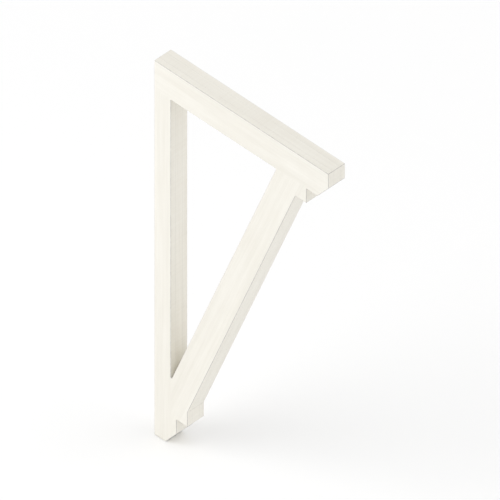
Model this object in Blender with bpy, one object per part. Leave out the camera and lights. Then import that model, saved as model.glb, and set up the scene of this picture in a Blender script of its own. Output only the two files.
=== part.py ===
"""Corbel bracket: an open triangular wall bracket, cut in one piece from thick cellular PVC.

The origin is the middle of the face that goes against the wall. +X points out from the wall,
+Z points up, and the thickness lies evenly on both sides of Y = 0. All sizes are in metres.
"""

import math

import bmesh
import bpy
from mathutils import Matrix, Vector

# Driving dimensions
HEIGHT = 1.524  # of the face against the wall, 60 in
PROJECTION = 0.930  # from the wall to the end of the arm
THICKNESS = 0.089  # from side to side, 3 1/2 in
STEP = 0.059  # one step of the notched arm end and of the notched foot
POST_WIDTH = 0.088  # from the wall to the opening
CUTTER_RADIUS = 0.0032  # left in the inside corners by a quarter-inch router bit
ARRIS = 0.0020  # width of the eased edges

# Smoothness of the two roundings
CORNER_SEGMENTS = 8
ARRIS_SEGMENTS = 2
LEAST_TURN = math.radians(30)  # faces that meet at a flatter angle keep a plain edge

# Sizes that follow from the driving dimensions
TOP = HEIGHT / 2
FOOT = -HEIGHT / 2
ARM_DEPTH = 2 * STEP
BRACE_WIDTH = 2 * STEP
CUTTER_OVERLAP = 0.010  # how far the cutting prism stands out past each side

# Ways that an outline turns at a corner, seen with +X to the right and +Z up
CLOCKWISE = 1
ANTICLOCKWISE = -1

# Finish: satin off-white
COLOUR = (0.947, 0.922, 0.863, 1.0)
ROUGHNESS = 0.45


def clear_scene():
    for obj in list(bpy.data.objects):
        bpy.data.objects.remove(obj, do_unlink=True)


def brace_ends():
    """The upper and the lower end of the brace's outer edge."""
    upper = Vector((PROJECTION - 3 * STEP, TOP - 3 * STEP))
    lower = Vector((3 * STEP, FOOT + 3 * STEP))
    return upper, lower


def outline():
    """The bracket's outer corners, clockwise from the top of the wall face."""
    arm_end = [
        (PROJECTION, TOP),
        (PROJECTION, TOP - STEP),
        (PROJECTION - STEP, TOP - 2 * STEP),
        (PROJECTION - 2 * STEP, TOP - 2 * STEP),
        (PROJECTION - 2 * STEP, TOP - 3 * STEP),
    ]
    foot = [
        (3 * STEP, FOOT + 2 * STEP),
        (2 * STEP, FOOT + 2 * STEP),
        (2 * STEP, FOOT + STEP),
        (STEP, FOOT),
        (0, FOOT),
    ]
    return [Vector(corner) for corner in ((0, TOP), *arm_end, *brace_ends(), *foot)]


def opening():
    """The corners of the triangle between post, arm and brace, clockwise from its top left."""
    upper, lower = brace_ends()
    along = (lower - upper).normalized()
    towards_wall = Vector((along.y, -along.x))
    inner_edge = upper + towards_wall * BRACE_WIDTH
    arm_underside = TOP - ARM_DEPTH
    under_arm = inner_edge + along * (arm_underside - inner_edge.y) / along.y
    beside_post = inner_edge + along * (POST_WIDTH - inner_edge.x) / along.x
    return [Vector((POST_WIDTH, arm_underside)), under_arm, beside_post]


def rounded(corners, turning):
    """The outline with the cutter's radius at each corner that turns this way."""
    points = []
    for index, corner in enumerate(corners):
        arriving = (corner - corners[index - 1]).normalized()
        leaving = (corners[(index + 1) % len(corners)] - corner).normalized()
        turn = arriving.angle_signed(leaving)
        if turn * turning < LEAST_TURN:
            points.append(corner)
            continue
        start = corner - arriving * CUTTER_RADIUS * math.tan(abs(turn) / 2)
        to_centre = Vector((arriving.y, -arriving.x)) * math.copysign(CUTTER_RADIUS, turn)
        for step in range(CORNER_SEGMENTS + 1):
            turned = Matrix.Rotation(-turn * step / CORNER_SEGMENTS, 2)
            points.append(start + to_centre - turned @ to_centre)
    return points


def new_prism(name, points, thickness):
    """A closed prism with this outline in XZ, centred on Y = 0."""
    bm = bmesh.new()
    ring = [bm.verts.new((x, -thickness / 2, z)) for x, z in points]
    side = bm.faces.new(ring)
    swept = bmesh.ops.extrude_face_region(bm, geom=[side])["geom"]
    far_verts = [item for item in swept if isinstance(item, bmesh.types.BMVert)]
    bmesh.ops.translate(bm, verts=far_verts, vec=(0, thickness, 0))
    bmesh.ops.recalc_face_normals(bm, faces=bm.faces)
    mesh = bpy.data.meshes.new(name)
    bm.to_mesh(mesh)
    bm.free()
    obj = bpy.data.objects.new(name, mesh)
    bpy.context.scene.collection.objects.link(obj)
    return obj


def opening_cutter():
    """What is cut away between post, arm and brace."""
    points = rounded(opening(), CLOCKWISE)
    cutter = new_prism("opening_cutter", points, THICKNESS + 2 * CUTTER_OVERLAP)
    cutter.hide_render = True
    cutter.display_type = "WIRE"
    return cutter


def satin_off_white():
    material = bpy.data.materials.new("satin_off_white")
    material.use_nodes = True
    shader = material.node_tree.nodes["Principled BSDF"]
    shader.inputs["Base Color"].default_value = COLOUR
    shader.inputs["Roughness"].default_value = ROUGHNESS
    shader.inputs["Metallic"].default_value = 0.0
    return material


def bracket():
    """Post, arm and brace, one solid around the opening."""
    obj = new_prism("bracket", rounded(outline(), ANTICLOCKWISE), THICKNESS)
    obj.data.materials.append(satin_off_white())
    cut = obj.modifiers.new("opening", "BOOLEAN")
    cut.operation = "DIFFERENCE"
    cut.solver = "EXACT"
    cut.object = opening_cutter()
    ease = obj.modifiers.new("eased_edges", "BEVEL")
    ease.width = ARRIS
    ease.segments = ARRIS_SEGMENTS
    ease.limit_method = "ANGLE"
    ease.angle_limit = LEAST_TURN
    ease.use_clamp_overlap = False
    return obj


def main():
    clear_scene()
    bracket()


main()
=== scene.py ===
"""Looks of the corbel bracket: one piece, brushed satin off-white, on a pale studio floor.

Run as a script in Blender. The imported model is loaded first, and gives the overall sizes. The
piece made here takes the place of its plain solid, in the same frame: +X out from the wall, +Z
up, in metres.
"""

import math

import bmesh
import bpy
from bpy.props import FloatProperty, FloatVectorProperty, PointerProperty
from bpy.types import Operator, Panel, PropertyGroup
from mathutils import Matrix, Vector


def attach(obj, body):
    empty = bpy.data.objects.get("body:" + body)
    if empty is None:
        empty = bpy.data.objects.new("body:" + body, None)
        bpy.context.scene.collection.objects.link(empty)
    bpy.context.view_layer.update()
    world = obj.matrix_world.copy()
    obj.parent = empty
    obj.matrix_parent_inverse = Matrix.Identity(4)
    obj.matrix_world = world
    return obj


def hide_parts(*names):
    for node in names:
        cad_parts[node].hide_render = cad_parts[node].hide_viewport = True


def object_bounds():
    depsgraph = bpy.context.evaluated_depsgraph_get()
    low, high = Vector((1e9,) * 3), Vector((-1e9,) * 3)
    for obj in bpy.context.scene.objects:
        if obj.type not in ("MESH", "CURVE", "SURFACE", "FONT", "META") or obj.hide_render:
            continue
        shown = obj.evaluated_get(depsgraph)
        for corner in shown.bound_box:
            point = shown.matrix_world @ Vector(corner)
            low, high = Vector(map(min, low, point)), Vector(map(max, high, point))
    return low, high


bl_info = {
    "name": "Corbel bracket",
    "version": (1, 0, 0),
    "blender": (4, 5, 0),
    "location": "3D View > Sidebar > Bracket",
    "description": "Builds a one-piece open corbel bracket and a plain studio round it",
    "category": "Add Mesh",
}

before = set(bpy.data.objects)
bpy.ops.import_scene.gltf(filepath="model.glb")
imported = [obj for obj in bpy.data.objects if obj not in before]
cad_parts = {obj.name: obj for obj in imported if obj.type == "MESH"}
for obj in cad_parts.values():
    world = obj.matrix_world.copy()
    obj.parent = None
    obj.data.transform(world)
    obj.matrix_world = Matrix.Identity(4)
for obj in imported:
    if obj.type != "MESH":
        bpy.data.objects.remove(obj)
LOWEST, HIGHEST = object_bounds()

NODE = "bracket"
PIECE = "painted_bracket"

# Ways that an outline turns at a corner, seen with +X to the right and +Z up
CLOCKWISE = 1
ANTICLOCKWISE = -1

# Smoothness of the roundings, and the flattest inside corner and edge that get one
CORNER_SEGMENTS = 16
ARRIS_SEGMENTS = 4
LEAST_HOLLOW = math.radians(20)
LEAST_ARRIS = math.radians(30)

# The piece's material slots
SIDE, ROUTED, HOLLOW, EASED, GLUE = range(5)
LEAST_SIDEWAYS = 0.5  # of a broad side's normal, along Y

# Where the eased edges get painted shade in their colour, from 0 on the faces to 1 along the
# edges
PAINTED_EDGE_SHADE = "shaded"

# Patterns in the paint. Most of a noise lies between the first two values.
NOISE_LOW, NOISE_HIGH = 0.3, 0.7
STROKES = 60.0  # brush strokes per metre, side by side
STROKE_LENGTH = 25.0  # times their width
STROKE_DETAIL = 5.0
BRISTLES = 0.7  # share of the finest marks in a stroke
PEEL = 420.0  # dimples per metre in the dried paint
CUT_LENGTH = 30.0  # of the cutter's marks across an edge, times their width

# Where the strokes of two members lap: how wide the lap is, and how it strays
LAP = 0.004
LAP_STRAY = 0.012
LAP_WAVES = 35.0  # per metre

# The stage, in metres. The two far lights are given by the direction they shine from.
FLOOR_RADIUS = 45.0
FLOOR_SEGMENTS = 96
FLOOR_GAP = 0.0005
KEY_FROM, KEY_SPREAD = (-0.45, -0.75, 0.55), math.radians(50)
FILL_FROM, FILL_SPREAD = (0.7, 0.5, 0.55), math.radians(60)
SOFTBOX_SIZE = 1.6
SOFTBOX_PLACE = (-1.1, -2.0, 1.5)
SOFTBOX_AIM = (0.3, 0.0, 0.2)
BELOW_HORIZON = 0.975  # brightness of the air there, as bright as the lit floor
HORIZON_BLUR = 0.001  # of the step from there to the air above
CAMERA_DISTANCE = 4.0
CAMERA_REACH = 100.0

# The photograph: its side in pixels, and where the upper front corner at the wall falls in it
PHOTO_SIDE = 500
CORNER_PIXEL = (154.26, 60.15)
ISOMETRIC_RISE = math.atan(math.sqrt(0.5))


class BracketSizes(PropertyGroup):
    height: FloatProperty(
        name="Height",
        description="Height of the face against the wall",
        default=HIGHEST.z - LOWEST.z,
        subtype="DISTANCE",
    )
    projection: FloatProperty(
        name="Projection",
        description="From the wall to the end of the arm",
        default=HIGHEST.x - LOWEST.x,
        subtype="DISTANCE",
    )
    thickness: FloatProperty(
        name="Thickness",
        description="From side to side",
        default=HIGHEST.y - LOWEST.y,
        subtype="DISTANCE",
    )
    step: FloatProperty(
        name="Step",
        description="One step of the notched arm end and foot. Arm and brace are two steps deep",
        default=0.059,
        subtype="DISTANCE",
    )
    post_width: FloatProperty(
        name="Post width",
        description="From the wall to the opening",
        default=0.088,
        subtype="DISTANCE",
    )
    cutter_radius: FloatProperty(
        name="Cutter radius",
        description="Radius that the router bit leaves in the inside corners",
        default=0.0032,
        subtype="DISTANCE",
    )
    arris: FloatProperty(
        name="Eased edge",
        description="Width of the rounding along the outer edges",
        default=0.0020,
        subtype="DISTANCE",
    )
    outer_sheet: FloatProperty(
        name="Outer sheet",
        description="Thickness of the two outer sheets, which are glued to a thicker core",
        default=0.0254,
        subtype="DISTANCE",
    )
    glue_line: FloatProperty(
        name="Glue line",
        description="Width of the hairline groove where two sheets meet",
        default=0.0005,
        subtype="DISTANCE",
    )
    glue_depth: FloatProperty(
        name="Glue line depth",
        description="Depth of that groove under the paint",
        default=0.0002,
        subtype="DISTANCE",
    )


class PaintFinish(PropertyGroup):
    colour: FloatVectorProperty(
        name="Paint",
        description="Satin off-white",
        default=(0.868, 0.845, 0.780),
        subtype="COLOR",
        min=0.0,
        max=1.0,
    )
    # Painted shade along the eased edges: how dark it is, and how uneven
    edge_painted_shade: FloatProperty(
        name="Eased edge shade",
        description="Brightness of the most rubbed edges, as a share of the paint's",
        default=0.46,
        subtype="FACTOR",
        min=0.0,
        max=1.0,
    )
    edge_range: FloatProperty(
        name="Eased edge range",
        description="How much brighter the least rubbed edges are",
        default=0.30,
        subtype="FACTOR",
        min=0.0,
        max=1.0,
    )
    # Painted shade in the inside corners
    hollow_painted_shade: FloatProperty(
        name="Inside corner shade",
        description="Brightness of the inside corners, as a share of the paint's",
        default=0.70,
        subtype="FACTOR",
        min=0.0,
        max=1.0,
    )
    # Painted shadow in the glue lines
    glue_painted_shade: FloatProperty(
        name="Glue line shade",
        description="Brightness of the glue lines, as a share of the paint's",
        default=0.72,
        subtype="FACTOR",
        min=0.0,
        max=1.0,
    )


class StudioSetup(PropertyGroup):
    floor_colour: FloatVectorProperty(
        name="Floor",
        description="Pale floor under the bracket",
        default=(0.97, 0.97, 0.97),
        subtype="COLOR",
        min=0.0,
        max=1.0,
    )
    sky: FloatProperty(
        name="Soft light",
        description="Brightness of the even light from above",
        default=0.81,
        min=0.0,
    )
    key: FloatProperty(
        name="Key light",
        description="Strength of the far light in front, on the left",
        default=0.73,
        min=0.0,
    )
    fill: FloatProperty(
        name="Fill light",
        description="Strength of the far light behind, on the right",
        default=0.45,
        min=0.0,
    )
    softbox: FloatProperty(
        name="Softbox",
        description="Power of the near softbox in front, on the left, in watts",
        default=6.5,
        min=0.0,
    )
    azimuth: FloatProperty(
        name="Azimuth",
        description="Turn of the view round the bracket",
        default=math.radians(45),
        subtype="ANGLE",
    )
    tallness: FloatProperty(
        name="Tallness",
        description="How much taller than a true isometric view the photograph is drawn",
        default=1.1354,
        min=1.0,
    )
    pixel: FloatProperty(
        name="Pixel",
        description="Width of the photograph's pixel at the bracket",
        default=0.0037764,
        subtype="DISTANCE",
    )


def brace_ends(sizes):
    """The upper and the lower end of the brace's outer edge."""
    top, foot = sizes.height / 2, -sizes.height / 2
    upper = Vector((sizes.projection - 3 * sizes.step, top - 3 * sizes.step))
    lower = Vector((3 * sizes.step, foot + 3 * sizes.step))
    return upper, lower


def outline(sizes):
    """The outer corners in XZ, clockwise from the top of the wall face."""
    top, foot = sizes.height / 2, -sizes.height / 2
    end, step = sizes.projection, sizes.step
    arm_end = [
        (end, top),
        (end, top - step),
        (end - step, top - 2 * step),
        (end - 2 * step, top - 2 * step),
        (end - 2 * step, top - 3 * step),
    ]
    toe = [
        (3 * step, foot + 2 * step),
        (2 * step, foot + 2 * step),
        (2 * step, foot + step),
        (step, foot),
        (0, foot),
    ]
    return [Vector(corner) for corner in ((0, top), *arm_end, *brace_ends(sizes), *toe)]


def opening(sizes):
    """The corners of the triangle between post, arm and brace, clockwise from its top left."""
    upper, lower = brace_ends(sizes)
    along = (lower - upper).normalized()
    towards_wall = Vector((along.y, -along.x))
    inner_edge = upper + towards_wall * 2 * sizes.step
    arm_underside = sizes.height / 2 - 2 * sizes.step
    under_arm = inner_edge + along * (arm_underside - inner_edge.y) / along.y
    beside_post = inner_edge + along * (sizes.post_width - inner_edge.x) / along.x
    return [Vector((sizes.post_width, arm_underside)), under_arm, beside_post]


def add_corner(bm, corner, arriving, turn, radius, depth):
    """A rounded corner of a wire outline, swung from its first vertex. Returns both its ends."""
    start = corner - arriving * radius * math.tan(abs(turn) / 2)
    centre = start + Vector((arriving.y, -arriving.x)) * math.copysign(radius, turn)
    first = bm.verts.new((start.x, depth, start.y))
    swung = bmesh.ops.spin(
        bm,
        geom=[first],
        cent=(centre.x, depth, centre.y),
        axis=(0, 1, 0),
        angle=turn,
        steps=CORNER_SEGMENTS,
    )
    return first, swung["geom_last"][0]


def add_outline(bm, corners, turning, radius, depth):
    """A closed wire outline, with the cutter's radius at each corner that turns this way."""
    ends = []
    for index, corner in enumerate(corners):
        arriving = (corner - corners[index - 1]).normalized()
        leaving = (corners[(index + 1) % len(corners)] - corner).normalized()
        turn = arriving.angle_signed(leaving)
        if turn * turning > LEAST_HOLLOW:
            ends.append(add_corner(bm, corner, arriving, turn, radius, depth))
        else:
            sharp = bm.verts.new((corner.x, depth, corner.y))
            ends.append((sharp, sharp))
    for index, (first, _) in enumerate(ends):
        bm.edges.new((ends[index - 1][1], first))


def cut_board(sizes):
    """The bracket with sharp edges: its outlines filled, then swept across the thickness."""
    bm = bmesh.new()
    near_side = -sizes.thickness / 2
    add_outline(bm, outline(sizes), ANTICLOCKWISE, sizes.cutter_radius, near_side)
    add_outline(bm, opening(sizes), CLOCKWISE, sizes.cutter_radius, near_side)
    bmesh.ops.triangle_fill(bm, use_beauty=True, use_dissolve=True, edges=bm.edges[:])
    swept = bmesh.ops.extrude_face_region(bm, geom=bm.faces[:])["geom"]
    far_verts = [item for item in swept if isinstance(item, bmesh.types.BMVert)]
    bmesh.ops.translate(bm, verts=far_verts, vec=(0, sizes.thickness, 0))
    bmesh.ops.recalc_face_normals(bm, faces=bm.faces[:])
    widest_in_corner = sizes.cutter_radius / 4
    for face in bm.faces:
        if abs(face.normal.y) > LEAST_SIDEWAYS:
            face.material_index = SIDE
        elif min(edge.calc_length() for edge in face.edges) < widest_in_corner:
            face.material_index = HOLLOW
            face.smooth = True
        else:
            face.material_index = ROUTED
    return bm


def ease_edges(bm, sizes):
    """Rounds every outer edge, as a light sanding does."""
    sharp = [edge for edge in bm.edges if edge.calc_face_angle() > LEAST_ARRIS]
    eased = bmesh.ops.bevel(
        bm,
        geom=sharp,
        offset=sizes.arris,
        offset_type="OFFSET",
        affect="EDGES",
        segments=ARRIS_SEGMENTS,
        profile=0.5,
        material=-1,
        clamp_overlap=False,
    )["faces"]
    for face in eased:
        face.material_index = EASED
        face.smooth = True
    # The vertices that get the painted edge shade
    shaded = bm.verts.layers.float.new(PAINTED_EDGE_SHADE)
    for vert in bm.verts:
        vert[shaded] = all(face.material_index == EASED for face in vert.link_faces)


def cut_glue_lines(bm, sizes):
    """A hairline groove all round the edges, on both sides of the core."""
    half = sizes.glue_line / 2
    for side in (-1, 1):
        middle = side * (sizes.thickness / 2 - sizes.outer_sheet)
        for across in (-half, 0, half):
            bmesh.ops.bisect_plane(
                bm,
                geom=bm.verts[:] + bm.edges[:] + bm.faces[:],
                plane_co=(0, middle + across, 0),
                plane_no=(0, 1, 0),
            )
        bm.normal_update()
        for vert in bm.verts:
            if abs(vert.co.y - middle) < half / 2:
                vert.co -= vert.normal * sizes.glue_depth
        for face in bm.faces:
            if abs(face.calc_center_median().y - middle) < half:
                face.material_index = GLUE
    bm.normal_update()


def new_node(tree, kind, output, inputs, **settings):
    """Adds a node and returns one of its outputs. An input takes a constant or another output."""
    node = tree.nodes.new(kind)
    for name, value in settings.items():
        setattr(node, name, value)
    sockets = {socket.identifier: socket for socket in node.inputs}
    for name, value in inputs.items():
        if isinstance(value, bpy.types.NodeSocket):
            tree.links.new(value, sockets[name])
        else:
            sockets[name].default_value = value
    return next(socket for socket in node.outputs if socket.identifier == output)


def new_paint(name):
    """A material with its shader, and the object coordinates that its patterns use."""
    material = bpy.data.materials.new(name)
    material.use_nodes = True
    tree = material.node_tree
    shader = tree.nodes["Principled BSDF"]
    point = new_node(tree, "ShaderNodeTexCoord", "Object", {})
    return material, tree, shader, point


def drawn_out(tree, point, x, y, z, turn=0.0):
    """Coordinates for a pattern that is this many times longer along X, Y and Z, then turned."""
    inputs = {"Vector": point, "Rotation": (0.0, turn, 0.0), "Scale": (x, y, z)}
    return new_node(tree, "ShaderNodeMapping", "Vector", inputs, vector_type="TEXTURE")


def noise(tree, point, per_metre, detail=2.0, fineness=0.5):
    """A cloudy pattern. The fineness is how much of each octave goes on into the next."""
    inputs = {"Vector": point, "Scale": per_metre, "Detail": detail, "Roughness": fineness}
    return new_node(tree, "ShaderNodeTexNoise", "Fac", inputs)


def ranged(tree, value, from_low, from_high, to_low, to_high):
    """The value, moved from one range to another and kept inside it."""
    inputs = {
        "Value": value,
        "From Min": from_low,
        "From Max": from_high,
        "To Min": to_low,
        "To Max": to_high,
    }
    return new_node(tree, "ShaderNodeMapRange", "Result", inputs)


def between(tree, share, low, high):
    """The first value where the share is 0, and the second where it is 1."""
    inputs = {"Factor_Float": share, "A_Float": low, "B_Float": high}
    return new_node(tree, "ShaderNodeMix", "Result_Float", inputs)


def spread_out(tree, pattern, low, high):
    """A noise pattern, spread out from one value to the other."""
    return ranged(tree, pattern, NOISE_LOW, NOISE_HIGH, low, high)


def pores(tree, point, per_metre, radius):
    """0 in small round pits and 1 between them, with a sloping rim."""
    inputs = {"Vector": point, "Scale": per_metre}
    distance = new_node(tree, "ShaderNodeTexVoronoi", "Distance", inputs)
    rim = radius * per_metre
    return ranged(tree, distance, rim / 2, rim, 0.0, 1.0)


def colour_surface(tree, shader, colour, tints):
    """The paint's colour. Each pattern's tint is laid on where the pattern is low."""
    colour = (*colour, 1.0)
    for pattern, tint in tints.items():
        inputs = {
            "Factor_Float": spread_out(tree, pattern, 1.0, 0.0),
            "A_Color": colour,
            "B_Color": (*tint, 1.0),
        }
        colour = new_node(
            tree, "ShaderNodeMix", "Result_Color", inputs, data_type="RGBA", blend_type="MULTIPLY"
        )
    tree.links.new(colour, shader.inputs["Base Color"])


def gloss_surface(tree, shader, pattern, low, high):
    tree.links.new(spread_out(tree, pattern, low, high), shader.inputs["Roughness"])


def raise_surface(tree, shader, heights):
    """Stacks bumps. Each pattern's height is how far it stands up where it is 1, in metres."""
    normal = None
    for pattern, height in heights.items():
        inputs = {"Height": pattern, "Distance": height}
        if normal is not None:
            inputs["Normal"] = normal
        normal = new_node(tree, "ShaderNodeBump", "Normal", inputs)
    tree.links.new(normal, shader.inputs["Normal"])


def brushed(tree, point, turn):
    """Brush strokes: bands as wide as a few bristles and up, long along Z before the turn."""
    lengthways = drawn_out(tree, point, 1.0, 1.0, STROKE_LENGTH, turn)
    return noise(tree, lengthways, STROKES, STROKE_DETAIL, BRISTLES)


def strokes_on_sides(tree, point, sizes):
    """Strokes that run along post, arm and brace, and lap a little unevenly where they meet."""
    upper, lower = brace_ends(sizes)
    along = upper - lower
    stray = ranged(tree, noise(tree, point, LAP_WAVES), 0.0, 1.0, -LAP_STRAY, LAP_STRAY)
    place = {"Vector": point}
    x = new_node(tree, "ShaderNodeSeparateXYZ", "X", place)
    z = new_node(tree, "ShaderNodeSeparateXYZ", "Z", place)
    across = new_node(tree, "ShaderNodeMath", "Value", {"Value": x, "Value_001": stray})
    height = new_node(tree, "ShaderNodeMath", "Value", {"Value": z, "Value_001": stray})
    arm_underside = sizes.height / 2 - 2 * sizes.step
    on_post = ranged(tree, across, sizes.post_width, sizes.post_width + LAP, 1.0, 0.0)
    on_arm = ranged(tree, height, arm_underside, arm_underside + LAP, 0.0, 1.0)
    post = brushed(tree, point, 0.0)
    arm = brushed(tree, point, math.pi / 2)
    brace = brushed(tree, point, math.atan2(along.x, along.y))
    return between(tree, on_arm, between(tree, on_post, brace, post), arm)


def brushed_side(finish, sizes):
    """The broad sides: satin paint, brushed out along each member."""
    material, tree, shader, point = new_paint("brushed_side")
    clouds = noise(tree, point, per_metre=5.0, detail=3.0)
    strokes = strokes_on_sides(tree, point, sizes)
    peel = noise(tree, point, PEEL, detail=1.0)
    tints = {clouds: (0.975, 0.97, 0.96), strokes: (0.92, 0.915, 0.90)}
    heights = {strokes: 0.0003, peel: 0.0001}
    colour_surface(tree, shader, finish.colour, tints)
    gloss_surface(tree, shader, strokes, low=0.36, high=0.48)
    raise_surface(tree, shader, heights)
    return material


def routed_edge(finish):
    """The cut faces: strokes along them, over cutter marks across them and a few open pores."""
    material, tree, shader, point = new_paint("routed_edge")
    clouds = noise(tree, point, per_metre=7.0, detail=3.0)
    lengthways = drawn_out(tree, point, STROKE_LENGTH, 1.0, STROKE_LENGTH)
    strokes = noise(tree, lengthways, STROKES, STROKE_DETAIL, BRISTLES)
    across = drawn_out(tree, point, 1.0, CUT_LENGTH, 1.0)
    chatter = noise(tree, across, per_metre=110.0, detail=3.0)
    marks = noise(tree, across, per_metre=900.0)
    pits = pores(tree, point, per_metre=260.0, radius=0.00045)
    tints = {
        clouds: (0.98, 0.975, 0.965),
        strokes: (0.93, 0.925, 0.915),
        chatter: (0.975, 0.97, 0.96),
        marks: (0.985, 0.985, 0.98),
        # painted shade in the pores
        pits: (0.88, 0.87, 0.85),
    }
    heights = {strokes: 0.0002, chatter: 0.0001, marks: 0.00006, pits: 0.00012}
    colour_surface(tree, shader, finish.colour, tints)
    gloss_surface(tree, shader, strokes, low=0.42, high=0.54)
    raise_surface(tree, shader, heights)
    return material


def hollow_corner(finish):
    """The inside corners, darkened with painted shade, as the light hardly comes into them."""
    material, tree, shader, point = new_paint("hollow_corner")
    across = drawn_out(tree, point, x=1.0, y=10.0, z=1.0)
    streaks = noise(tree, across, per_metre=200.0)
    # Painted shade, darker than the paint
    colour = [finish.hollow_painted_shade * channel for channel in finish.colour]
    colour_surface(tree, shader, colour, {streaks: (0.92, 0.92, 0.91)})
    gloss_surface(tree, shader, streaks, low=0.38, high=0.5)
    raise_surface(tree, shader, {streaks: 0.00005})
    return material


def eased_edge(finish):
    """The sanded edges, with painted shade: a darker, patchy line along each edge."""
    material, tree, shader, point = new_paint("eased_edge")
    shaded = new_node(tree, "ShaderNodeAttribute", "Fac", {}, attribute_name=PAINTED_EDGE_SHADE)
    patchy = noise(tree, point, per_metre=60.0, detail=5.0, fineness=0.7)
    peel = noise(tree, point, PEEL, detail=1.0)
    # The painted edge shade, darkest along the edges and patchy along them
    least = finish.edge_painted_shade
    share_on_edge = spread_out(tree, patchy, least, least + finish.edge_range)
    share_beside_edge = 0.98  # of the paint's brightness
    inputs = {
        "Factor_Float": between(tree, shaded, share_beside_edge, share_on_edge),
        "A_Color": (0.0, 0.0, 0.0, 1.0),
        "B_Color": (*finish.colour, 1.0),
    }
    colour = new_node(tree, "ShaderNodeMix", "Result_Color", inputs, data_type="RGBA")
    tree.links.new(colour, shader.inputs["Base Color"])
    gloss_surface(tree, shader, patchy, low=0.34, high=0.42)
    raise_surface(tree, shader, {peel: 0.0001})
    return material


def glue_line(finish):
    """The hairline between two sheets, filled by the paint, with a faint painted shadow in its
    colour.
    """
    material, tree, shader, point = new_paint("glue_line")
    # Painted shadow in the hairline's colour
    colour = [finish.glue_painted_shade * channel for channel in finish.colour]
    shader.inputs["Base Color"].default_value = (*colour, 1.0)
    gloss_surface(tree, shader, noise(tree, point, per_metre=60.0), low=0.45, high=0.55)
    return material


def paints(finish, sizes):
    """The piece's materials, in the order of its slots."""
    plain = [make(finish) for make in (routed_edge, hollow_corner, eased_edge, glue_line)]
    return [brushed_side(finish, sizes), *plain]


class MESH_OT_corbel_bracket_add(Operator):
    """Build the bracket, in one piece"""

    bl_idname = "mesh.corbel_bracket_add"
    bl_label = "Bracket"

    def execute(self, context):
        sizes, finish = context.scene.bracket_sizes, context.scene.bracket_finish
        bm = cut_board(sizes)
        ease_edges(bm, sizes)
        cut_glue_lines(bm, sizes)
        if not all(edge.is_manifold for edge in bm.edges):
            raise ValueError("The bracket isn't closed, because its sizes don't fit each other")
        mesh = bpy.data.meshes.new(PIECE)
        bm.to_mesh(mesh)
        bm.free()
        for material in paints(finish, sizes):
            mesh.materials.append(material)
        piece = bpy.data.objects.new(PIECE, mesh)
        context.scene.collection.objects.link(piece)
        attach(piece, "root")
        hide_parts(NODE)
        return {"FINISHED"}


def add_floor(scene, studio):
    """A round matt floor, just clear of the bracket's foot."""
    bm = bmesh.new()
    bmesh.ops.create_circle(bm, cap_ends=True, radius=FLOOR_RADIUS, segments=FLOOR_SEGMENTS)
    bmesh.ops.translate(bm, verts=bm.verts[:], vec=(0, 0, LOWEST.z - FLOOR_GAP))
    mesh = bpy.data.meshes.new("floor")
    bm.to_mesh(mesh)
    bm.free()
    material = bpy.data.materials.new("pale_floor")
    material.use_nodes = True
    shader = material.node_tree.nodes["Principled BSDF"]
    shader.inputs["Base Color"].default_value = (*studio.floor_colour, 1.0)
    shader.inputs["Roughness"].default_value = 1.0
    shader.inputs["Specular IOR Level"].default_value = 0.0
    mesh.materials.append(material)
    floor = bpy.data.objects.new("floor", mesh)
    scene.collection.objects.link(floor)


def add_light(scene, name, direction, strength, spread):
    """A very large, far light that shines from this direction."""
    light = bpy.data.lights.new(name, "SUN")
    light.energy = strength
    light.angle = spread
    lamp = bpy.data.objects.new(name, light)
    lamp.rotation_mode = "QUATERNION"
    lamp.rotation_quaternion = Vector(direction).to_track_quat("Z", "Y")
    scene.collection.objects.link(lamp)


def add_softbox(scene, studio):
    """A near square light, which leaves the lower end of the bracket a little darker."""
    light = bpy.data.lights.new("softbox", "AREA")
    light.shape = "SQUARE"
    light.size = SOFTBOX_SIZE
    light.energy = studio.softbox
    place = Vector(SOFTBOX_PLACE)
    lamp = bpy.data.objects.new("softbox", light)
    lamp.location = place
    lamp.rotation_mode = "QUATERNION"
    lamp.rotation_quaternion = (place - Vector(SOFTBOX_AIM)).to_track_quat("Z", "Y")
    scene.collection.objects.link(lamp)


def add_air(scene, studio):
    """Even light from above. Below the horizon the air is as bright as the lit floor."""
    world = bpy.data.worlds.new("studio_air")
    world.use_nodes = True
    tree = world.node_tree
    background = tree.nodes["Background"]
    direction = new_node(tree, "ShaderNodeTexCoord", "Generated", {})
    height = new_node(tree, "ShaderNodeSeparateXYZ", "Z", {"Vector": direction})
    level = ranged(tree, height, -HORIZON_BLUR, HORIZON_BLUR, BELOW_HORIZON, studio.sky)
    tree.links.new(level, background.inputs["Strength"])
    background.inputs["Color"].default_value = (1.0, 1.0, 1.0, 1.0)
    scene.world = world


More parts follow.
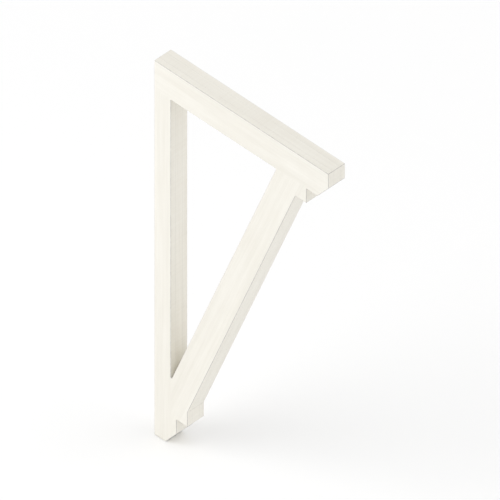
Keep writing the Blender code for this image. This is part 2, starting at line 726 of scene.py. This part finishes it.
def add_camera(scene, studio):
    """An isometric view with a picture plane that leans back towards the vertical.

    The photograph is a drawing: a true isometric view, drawn taller. A plane that leans as far
    as this one, under the same parallel lines of sight, shows exactly that.
    """
    turn = Matrix.Rotation(studio.azimuth, 3, "Z")
    right = turn @ Vector((1, 0, 0))
    back = turn @ Vector((0, -math.cos(ISOMETRIC_RISE), math.sin(ISOMETRIC_RISE)))
    lean = math.acos(1 / studio.tallness)
    plate_up = back.cross(right) * math.cos(lean) + back * math.sin(lean)
    corner = Vector((LOWEST.x, LOWEST.y, HIGHEST.z))
    aside = (PHOTO_SIDE / 2 - CORNER_PIXEL[0]) * studio.pixel
    down = (PHOTO_SIDE / 2 - CORNER_PIXEL[1]) * studio.pixel
    centre = corner + right * aside - plate_up * down
    stand = bpy.data.objects.new("camera_stand", None)
    scene.collection.objects.link(stand)
    lens = bpy.data.cameras.new("camera")
    lens.type = "ORTHO"
    lens.ortho_scale = PHOTO_SIDE * studio.pixel
    lens.clip_end = CAMERA_REACH
    camera = bpy.data.objects.new("camera", lens)
    scene.collection.objects.link(camera)
    camera.parent = stand
    leaning = Matrix((right, plate_up, back)).transposed().to_4x4()
    leaning.translation = centre + back * CAMERA_DISTANCE
    camera.matrix_parent_inverse = leaning
    scene.camera = camera


class SCENE_OT_bracket_studio_add(Operator):
    """Set up the floor, the lights and the camera"""

    bl_idname = "scene.bracket_studio_add"
    bl_label = "Studio"

    def execute(self, context):
        scene = context.scene
        studio = scene.bracket_studio
        add_floor(scene, studio)
        add_air(scene, studio)
        add_light(scene, "key_light", KEY_FROM, studio.key, KEY_SPREAD)
        add_light(scene, "fill_light", FILL_FROM, studio.fill, FILL_SPREAD)
        add_softbox(scene, studio)
        add_camera(scene, studio)
        scene.view_settings.view_transform = "Standard"
        return {"FINISHED"}


class VIEW3D_PT_corbel_bracket(Panel):
    bl_idname = "VIEW3D_PT_corbel_bracket"
    bl_label = "Corbel bracket"
    bl_space_type = "VIEW_3D"
    bl_region_type = "UI"
    bl_category = "Bracket"

    def draw(self, context):
        scene = context.scene
        for operator, groups in (
            (MESH_OT_corbel_bracket_add, (scene.bracket_sizes, scene.bracket_finish)),
            (SCENE_OT_bracket_studio_add, (scene.bracket_studio,)),
        ):
            column = self.layout.column()
            for group in groups:
                for name in group.__annotations__:
                    column.prop(group, name)
            column.operator(operator.bl_idname)


GROUPS = {
    "bracket_sizes": BracketSizes,
    "bracket_finish": PaintFinish,
    "bracket_studio": StudioSetup,
}
CLASSES = (
    *GROUPS.values(),
    MESH_OT_corbel_bracket_add,
    SCENE_OT_bracket_studio_add,
    VIEW3D_PT_corbel_bracket,
)


def register():
    for cls in CLASSES:
        bpy.utils.register_class(cls)
    for name, group in GROUPS.items():
        setattr(bpy.types.Scene, name, PointerProperty(type=group))


def unregister():
    for name in GROUPS:
        delattr(bpy.types.Scene, name)
    for cls in reversed(CLASSES):
        bpy.utils.unregister_class(cls)


def main():
    register()
    bpy.ops.mesh.corbel_bracket_add()
    bpy.ops.scene.bracket_studio_add()


if __name__ == "__main__":
    main()
